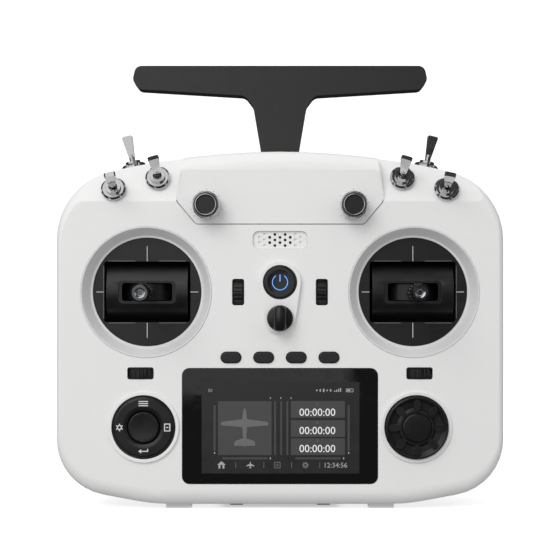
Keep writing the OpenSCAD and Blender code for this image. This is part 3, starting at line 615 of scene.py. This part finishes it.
# Function knob: a round base with an arched grip bar across it
node = "function_knob"
low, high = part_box(node)
knob_mid = middle(node)
base_r = (high[0] - low[0]) / 2 / mm
grip_top = (FACE_Y - low[1]) / mm
base = turned(node + "_finished", knob_mid, [
    (0, grip_top - 3.2), (base_r - 0.4, grip_top - 3.2), (base_r - 0.1, grip_top - 3.35),
    (base_r, grip_top - 3.7), (base_r, grip_top - 4.7), (2, grip_top - 4.7),
    (2, grip_top - 14.5), (0, grip_top - 14.5)],
    control_black, body_of(node))
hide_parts(node)
work = bmesh.new()
rows = []
for i in range(GRIP_CUTS + 1):
    across = -GRIP_HALF_WIDTH + 2 * GRIP_HALF_WIDTH / GRIP_CUTS * i
    reach = sqrt(GRIP_REACH ** 2 - across ** 2)
    fall = GRIP_ARCH * (across / GRIP_HALF_WIDTH) ** 2
    crown = grip_top - fall - 0.5 * max(0.0, abs(across) - 2.1) / 0.3
    ends = [(-reach, grip_top - GRIP_FOOT), (-reach, crown - 0.6), (0.6 - reach, crown),
            (reach - 0.6, crown), (reach, crown - 0.6), (reach, grip_top - GRIP_FOOT)]
    places = [(knob_mid.x + across * mm, FACE_Y - h * mm, knob_mid.z + z * mm) for z, h in ends]
    rows.append([work.verts.new(place) for place in places])
for first, second in zip(rows, rows[1:]):
    for i in range(6):
        work.faces.new((first[i - 1], first[i], second[i], second[i - 1]))
work.faces.new(rows[0])
work.faces.new(rows[-1][::-1])
grip = built("function_grip", work)
finish_mesh(grip, control_black, 50)
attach(grip, body_of(node))

# Bright liner in the hollow end of each stick
for name in ("left", "right"):
    node = "stick_tip_" + name
    end = (FACE_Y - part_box(node)[0][1]) / mm
    turned("tip_liner_" + name, middle(node), [
        (1.0, end - 1.0), (1.0, end - 0.75), (1.2, end - 0.55), (1.7, end - 0.15), (1.88, end - 0.08),
        (1.88, end - 1.0)], silver_tip, body_of(node), 64)
for name in ("left_v", "right_v", "left_h", "right_h"):
    rounded_copy("trim_wheel_" + name, control_black, 0.1 * mm)
rounded_copy("trim_frames", frame_black, 0.08 * mm)
for number in range(1, 5):
    rounded_copy("soft_key_%d" % number, key_black, 0.35 * mm, 4)


# The plate between the switches runs up into the case with no joint to see: its upper gap is filled flush
def rounded_path(points, r, steps=6):
    """Open path with its inner corners rounded."""
    path = [Vector(points[0])]
    for before, corner, after in zip(points, points[1:], points[2:]):
        a = (Vector(before) - Vector(corner)).normalized()
        b = (Vector(after) - Vector(corner)).normalized()
        half = a.angle(b) / 2
        hub = Vector(corner) + (a + b).normalized() * (r / sin(half))
        start, end = Vector(corner) + a * (r / tan(half)), Vector(corner) + b * (r / tan(half))
        path += [hub + (start.lerp(end, i / steps) - hub).normalized() * r for i in range(steps + 1)]
    return path + [Vector(points[-1])]


def strip(path, width):
    """Quads of a band of one width along a path."""
    sides = []
    for i, point in enumerate(path):
        along = (path[min(i + 1, len(path) - 1)] - path[max(i - 1, 0)]).normalized()
        sides.append((point, Vector((-along.y, along.x)) * (width / 2)))
    return [[tuple(p0 + n0), tuple(p0 - n0), tuple(p1 - n1), tuple(p1 + n1)]
            for (p0, n0), (p1, n1) in zip(sides, sides[1:])]


plate_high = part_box("top_fascia")[1]
joint = [(plate_high[0] + 0.1 * mm, 0.1173), (plate_high[0] - 1.95 * mm, plate_high[2] + 0.15 * mm)]
joint += [(-x, z) for x, z in joint[::-1]]
printed("fascia_joint", strip(rounded_path(joint, 1.6 * mm), 0.5 * mm), FACE_Y - 0.02 * mm, case_white,
        "root", 0.3 * mm)

# Ticks printed round each pot, from one end of its travel to the other
tick_grey = plastic("printed tick", (0.45, 0.45, 0.46, 1), (0.5, 0.5, 0.5, 1), 0.1, 0.5, 5200.0, 0.1, 0.2)
for name in ("left", "right"):
    hub = middle("pot_knob_" + name)
    ticks = []
    for step in range(11):
        a = radians(-130 + 26 * step)
        inner, outer = 5.7 * mm, (6.5 if step % 5 == 0 else 6.2) * mm
        across = 0.11 * mm
        ticks.append([(hub.x + r * sin(a) + w * cos(a), hub.z + r * cos(a) - w * sin(a))
                      for r, w in ((inner, -across), (outer, -across), (outer, across), (inner, across))])
    printed("pot_ticks_" + name, ticks, FACE_Y - 0.02 * mm, tick_grey)

# ---------------------------------------------------------------------------
# Power button: a polished black cap with a lit blue symbol let into it.
# ---------------------------------------------------------------------------
GLOW_BLUE = (0.10, 0.38, 1.0, 1)


def build_lit_skin():
    """Light through a diffuser: colour with a fine grid of cells and soft unevenness."""
    group, start, end = shader_group("lit skin", [
        ("Colour", "NodeSocketColor", (0.2, 0.5, 1, 1)),
        ("Cell scale", "NodeSocketFloat", 9000.0),
        ("Unevenness", "NodeSocketFloat", 0.25)], [
        ("Colour", "NodeSocketColor"), ("Glow", "NodeSocketColor"), ("Roughness", "NodeSocketFloat")])
    coords = group.nodes.new("ShaderNodeTexCoord").outputs["Object"]
    cells = group.nodes.new("ShaderNodeTexVoronoi")
    cells.inputs["Randomness"].default_value = 0.0
    group.links.new(coords, cells.inputs["Vector"])
    group.links.new(start.outputs["Cell scale"], cells.inputs["Scale"])
    dark = mapped(group, cells.outputs["Distance"], 0.3, 0.7)
    cloud = noise(group, coords, 180.0, 2.0)
    loss = arithmetic(group, "MULTIPLY", arithmetic(group, "ADD", dark, cloud), start.outputs["Unevenness"])
    glow = blended(group, loss, start.outputs["Colour"], (0, 0, 0, 1))
    group.links.new(glow, end.inputs["Glow"])
    unlit = blended(group, 0.7, start.outputs["Colour"], (0.02, 0.02, 0.02, 1))
    group.links.new(unlit, end.inputs["Colour"])
    group.links.new(mapped(group, cloud, 0.3, 0.7, 0.25, 0.4), end.inputs["Roughness"])
    return group


lit_skin = build_lit_skin()


def lit(name, colour, strength, unevenness=0.2):
    """Material that glows with an even, slightly mottled light."""
    return surface(name, lit_skin, {"Colour": colour, "Cell scale": 9000.0, "Unevenness": unevenness},
                   Emission_Strength=strength)


gloss_black = plastic("gloss black", (0.010, 0.010, 0.011, 1), (0.09, 0.09, 0.095, 1), 0.5, 0.16,
                      900.0, 0.03, 0.2)
blue_light = lit("blue light", GLOW_BLUE, 1.5, 0.1)
power = middle("power_button")
power_low, power_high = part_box("power_button")
flange = (power_high[0] - power_low[0]) / 2 / mm
proud = (FACE_Y - power_low[1]) / mm
cap = turned("power_button_finished", power, [
    (0, proud - 0.4), (3, proud - 0.3), (4.6, proud - 0.1), (flange - 1.5, proud),
    (flange - 1.2, proud - 0.08), (flange - 0.98, proud - 0.3), (flange - 0.9, proud - 0.6),
    (flange - 0.9, -2.4), (flange, -2.4), (flange, -3), (0, -3)], gloss_black,
    body_of("power_button"))
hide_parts("power_button")
power_face = power_low[1] + 0.28 * mm
symbol = arc_band(power.x, power.z, 2.74 * mm, 3.0 * mm, 122, 418)
symbol.append(bar(power.x, power.z + 1.6 * mm, 0.32 * mm, 2.6 * mm))
printed("power_symbol", symbol, power_face - 0.1 * mm, blue_light, body_of("power_button"),
        0.3 * mm)

# ---------------------------------------------------------------------------
# Display: a polished black window glued into the case, with the lit picture
# of a flight page on it. Module and board sit behind it on the front shell.
# ---------------------------------------------------------------------------
screen_black = plastic("display window", (0.0075, 0.0075, 0.008, 1), (0.05, 0.05, 0.055, 1), 0.3, 0.06,
                       700.0, 0.01, 0.1)
rounded_copy("screen_glass", screen_black, 0.22 * mm, 3)
window = middle("screen_glass")
GLASS_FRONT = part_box("screen_glass")[0][1]
TILE_FRONT = GLASS_FRONT - 0.02 * mm
INK_FRONT = GLASS_FRONT - 0.05 * mm


def page_tone(name, grey):
    """Grey of the lit page."""
    return lit(name, (grey, grey, grey * 1.01, 1), 1.0, 0.12)


def on_page(points):
    """Points in millimetres from the middle of the window, moved on to it."""
    return [(window.x + x * mm, window.z + z * mm) for x, z in points]


def page_bar(x, z, width, height):
    """Bar on the page, placed and sized in millimetres."""
    return bar(window.x + x * mm, window.z + z * mm, width * mm, height * mm)


def digits(name, text, x, z, height, material):
    """Row of figures centred at x, z millimetres from the middle of the window."""
    curve = bpy.data.curves.new(name, "FONT")
    curve.body = text
    curve.size = height * mm / 0.7
    curve.align_x = "CENTER"
    curve.resolution_u = 3
    curve.extrude = 0.02 * mm
    writer = bpy.data.objects.new(name, curve)
    scene.collection.objects.link(writer)
    graph = bpy.context.evaluated_depsgraph_get()
    mesh = bpy.data.meshes.new_from_object(writer.evaluated_get(graph))
    bpy.data.objects.remove(writer)
    place = Vector((window.x + x * mm, INK_FRONT + 0.02 * mm, window.z + (z - height / 2) * mm))
    mesh.transform(Matrix.Translation(place) @ Matrix.Rotation(radians(90), 4, "X"))
    mesh.materials.clear()
    mesh.materials.append(material)
    piece = bpy.data.objects.new(name + "_ink", mesh)
    scene.collection.objects.link(piece)
    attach(piece, "root")


panel_tone = page_tone("panel tone", 0.006)
tile_tone = page_tone("tile tone", 0.040)
plane_tone = page_tone("silhouette tone", 0.105)
icon_tone = page_tone("icon tone", 0.30)
figure_tone = page_tone("figure tone", 0.72)

printed("page_panel", [page_bar(0.2, -0.6, 59.5, 34.5)], GLASS_FRONT - 0.005 * mm, panel_tone)
tiles = [page_bar(-13.3, -0.75, 20.2, 20.3)]
tiles += [page_bar(14.3, z, 20.4, 6.3) for z in (6.35, -0.9, -7.75)]
tiles += [page_bar(x, -0.75, 0.7, 20.3) for x in (-1.85, 0.45, 2.75)]
tiles += [page_bar(x, -0.7, 0.75, 17.2) for x in (-24.7, 25.9)]
tiles += [page_bar(x, -12.15, 17.0, 0.75) for x in (-13.25, 14.25)]
printed("page_tiles", tiles, TILE_FRONT, tile_tone)

half_plane = [(0.0, 6.9), (0.35, 6.4), (0.7, 4.6), (0.85, 2.6), (8.0, 1.75), (8.9, 1.3), (9.0, 0.6),
              (8.6, 0.3), (0.85, -0.3), (0.6, -4.6), (3.3, -5.5), (3.9, -6.1), (3.95, -7.4),
              (0.5, -7.4), (0.0, -7.8)]
plane = half_plane + [(-x, z) for x, z in half_plane[-2:0:-1]]
printed("page_plane", [on_page([(x - 13.35, z) for x, z in plane])], INK_FRONT, plane_tone)

# Footer icons: a house, an aircraft, a grid and a cog, with rules between them
icons = [on_page([(-23.7, -14.6), (-22.1, -13.2), (-20.5, -14.6)])]
icons += [page_bar(x, -15.3, 0.75, 1.35) for x in (-22.85, -21.35)]
aircraft = [(0, 1.5), (0.25, 0.5), (1.5, -0.2), (1.5, -0.5), (0.25, -0.25), (0.2, -0.9), (0.6, -1.25),
            (0, -1.1), (-0.6, -1.25), (-0.2, -0.9), (-0.25, -0.25), (-1.5, -0.5), (-1.5, -0.2), (-0.25, 0.5)]
icons.append(on_page([(x - 11.2, z - 14.7) for x, z in aircraft]))
dim_icons = frame_bars(window.x - 1.0 * mm, window.z - 14.7 * mm, 2.1 * mm, 2.1 * mm, 0.22 * mm)
dim_icons.append(page_bar(-1.0, -14.7, 0.2, 1.2))
dim_icons += [page_bar(x, -14.7, 0.5, 0.2) for x in (-1.45, -0.55)]
dim_icons += arc_band(window.x + 9.6 * mm, window.z - 14.7 * mm, 0.45 * mm, 0.95 * mm, 0, 360, 16)
for tooth in range(8):
    a = radians(45 * tooth)
    dim_icons.append(page_bar(9.6 + 1.1 * cos(a), -14.7 + 1.1 * sin(a), 0.32, 0.32))
dim_icons += [page_bar(x, -14.7, 0.16, 2.3) for x in (-16.7, -6.1, 4.4, 15.0)]
printed("page_icons", icons, INK_FRONT, icon_tone)
dim_tone = page_tone("dim icon tone", 0.13)
printed("page_dim_icons", dim_icons, INK_FRONT, dim_tone)

# Header: radio links, levels and the cell gauge, drawn as plain marks
status = [page_bar(13.9 + 1.3 * i, 13.5, 0.55, 0.55 + 0.35 * (i % 3)) for i in range(5)]
status += [page_bar(20.6 + 0.75 * i, 13.2 + 0.16 * i, 0.42, 0.5 + 0.32 * i) for i in range(4)]
status += frame_bars(window.x + 26.3 * mm, window.z + 13.5 * mm, 2.6 * mm, 1.1 * mm, 0.2 * mm)
status += [page_bar(25.9, 13.5, 1.3, 0.6)]
status += [page_bar(x, 10.6, 0.4, 0.5) for x in (-3.6, 0.3, 4.2)]
status += [page_bar(x, -10.1, 0.4, 0.7) for x in (-24.7, 25.9)]
status += [page_bar(x, -12.15, 0.4, 0.7) for x in (-3.65, 24.0)]
printed("page_status", status, INK_FRONT, icon_tone)
for number, z in enumerate((5.3, -1.6, -8.4)):
    digits("timer_%d" % (number + 1), "00:00:00", 14.1, z, 2.8, figure_tone)
    digits("timer_name_%d" % (number + 1), str(number + 1), 14.1, z + 3.0, 1.0, dim_tone)
digits("clock", "12:34:56", 20.9, -14.7, 1.85, icon_tone)
digits("page_number", "01", -26.2, 13.5, 1.2, icon_tone)

board_green = plastic("solder mask", (0.015, 0.11, 0.045, 1), (0.35, 0.25, 0.08, 1), 0.5, 0.35,
                      2600.0, 0.3, 0.5)
rounded_copy("lcd_module", inner_grey, 0.2 * mm)
rounded_copy("main_board", board_green, 0.08 * mm)

# ---------------------------------------------------------------------------
# Dials. Left: a rocking four-way ring round a push button, with a symbol for
# each way. Right: an encoder wheel with eight raised ribs round its button.
# ---------------------------------------------------------------------------
dial_black = plastic("dial black", (0.012, 0.012, 0.0125, 1), (0.10, 0.10, 0.105, 1), 0.5, 0.30,
                     3000.0, 0.15, 0.3)
cap_black = plastic("cap black", (0.012, 0.012, 0.013, 1), (0.10, 0.10, 0.105, 1), 0.5, 0.22,
                    1800.0, 0.05, 0.2)
rounded_copy("nav_ring", dial_black, 0.12 * mm)
rounded_copy("encoder_wheel", dial_black, 0.45 * mm, 4)
rounded_copy("nav_rocker", inner_grey, 0.15 * mm)
rounded_copy("nav_button", cap_black, 0.15 * mm)
rounded_copy("encoder_button", cap_black, 0.15 * mm)

dial = middle("nav_ring")
SYMBOL_R = 9.0 * mm
SYMBOL_LINE = 0.36 * mm
symbols = [bar(dial.x, dial.z + SYMBOL_R + row * 0.8 * mm, 3.6 * mm, SYMBOL_LINE) for row in (-1, 0, 1)]
symbols += frame_bars(dial.x + SYMBOL_R, dial.z, 2.0 * mm, 2.6 * mm, SYMBOL_LINE)
symbols.append(bar(dial.x + SYMBOL_R, dial.z, 0.9 * mm, SYMBOL_LINE))
symbols += arc_band(dial.x - SYMBOL_R, dial.z, 0.55 * mm, 0.95 * mm, 0, 360, 20)
for tooth in range(6):
    a = radians(60 * tooth + 30)
    x = dial.x - SYMBOL_R + 1.2 * mm * cos(a)
    symbols.append(bar(x, dial.z + 1.2 * mm * sin(a), 0.4 * mm, 0.4 * mm))
symbols.append(bar(dial.x + 0.5 * mm, dial.z - SYMBOL_R, 2.6 * mm, SYMBOL_LINE))
symbols.append(bar(dial.x + 1.62 * mm, dial.z - SYMBOL_R + 0.58 * mm, SYMBOL_LINE, 0.8 * mm))
symbols.append([(dial.x - 0.8 * mm, dial.z - SYMBOL_R + 0.8 * mm), (dial.x - 1.9 * mm, dial.z - SYMBOL_R),
                (dial.x - 0.8 * mm, dial.z - SYMBOL_R - 0.8 * mm)])
printed("nav_symbols", symbols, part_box("nav_ring")[0][1] - 0.02 * mm, print_white,
        body_of("nav_ring"))

# ---------------------------------------------------------------------------
# Antenna: T-shaped soft black cover that folds on a pin through its bracket.
# Speaker, sockets and cover below are small black or grey mouldings.
# ---------------------------------------------------------------------------
antenna_black = plastic("antenna black", (0.014, 0.014, 0.015, 1), (0.09, 0.09, 0.095, 1), 0.3, 0.50,
                        2400.0, 0.25, 0.25)
rounded_copy("antenna", antenna_black, 1.3 * mm, 5, 40)
rounded_copy("antenna_bracket", antenna_black, 0.4 * mm)
rounded_copy("speaker_driver", inner_grey, 0.2 * mm)
rounded_copy("port_cover", key_black, 0.12 * mm)
rounded_copy("jack_socket", frame_black, 0.1 * mm)

# ---------------------------------------------------------------------------
# Back: two shrink-wrapped cells behind the battery door, ribbed rubber pads
# glued on the grips, and four black socket screws that hold the shells.
# ---------------------------------------------------------------------------
cell_green = plastic("cell sleeve", (0.03, 0.20, 0.11, 1), (0.1, 0.3, 0.2, 1), 0.2, 0.18, 700.0, 0.05, 0.3)
grip_rubber = plastic("grip rubber", (0.040, 0.040, 0.043, 1), (0.10, 0.10, 0.10, 1), 0.3, 0.68,
                      2600.0, 0.5, 0.4)
screw_black = metal("black oxide", (0.05, 0.05, 0.052, 1), 0.30, 0.15, 2600.0, 0.2)
RIB_DEPTH = 0.55 * mm
RIB_PITCH = 2.3 * mm
RIB_WIDTH = 1.25 * mm
RIB_ROWS = 25
PAD_INNER_EDGE = 55.7 * mm

rounded_copy("battery_cells", cell_green, 0.3 * mm)
rounded_copy("screws", screw_black, 0.15 * mm)
pads = rounded_copy("rear_grips", grip_rubber, 0.1 * mm)
pads_low, pads_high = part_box("rear_grips")
for vertex in pads.data.vertices:
    if vertex.co.y > pads_high[1] - 0.01 * mm:
        vertex.co.y -= RIB_DEPTH
PAD_R = (pads_high[0] - PAD_INNER_EDGE) / 2
for side, name in ((-1, "left"), (1, "right")):
    ribs = []
    low_end, high_end = pads_low[2] + PAD_R, pads_high[2] - PAD_R
    for row in range(RIB_ROWS):
        z = (pads_low[2] + pads_high[2]) / 2 + (row - RIB_ROWS // 2) * RIB_PITCH
        beyond = max(low_end - z, z - high_end, 0.0)
        half_width = sqrt(PAD_R ** 2 - beyond ** 2) - 0.4 * mm
        ribs.append(bar(side * (pads_high[0] - PAD_R), z, 2 * half_width, RIB_WIDTH))
    rib_piece = printed("grip_ribs_" + name, ribs, pads_high[1] - RIB_DEPTH - 0.1 * mm, grip_rubber,
                        body_of("rear_grips"), RIB_DEPTH + 0.1 * mm)
    crown = rib_piece.modifiers.new("rounded ribs", "BEVEL")
    crown.width = 0.3 * mm
    crown.segments = 3
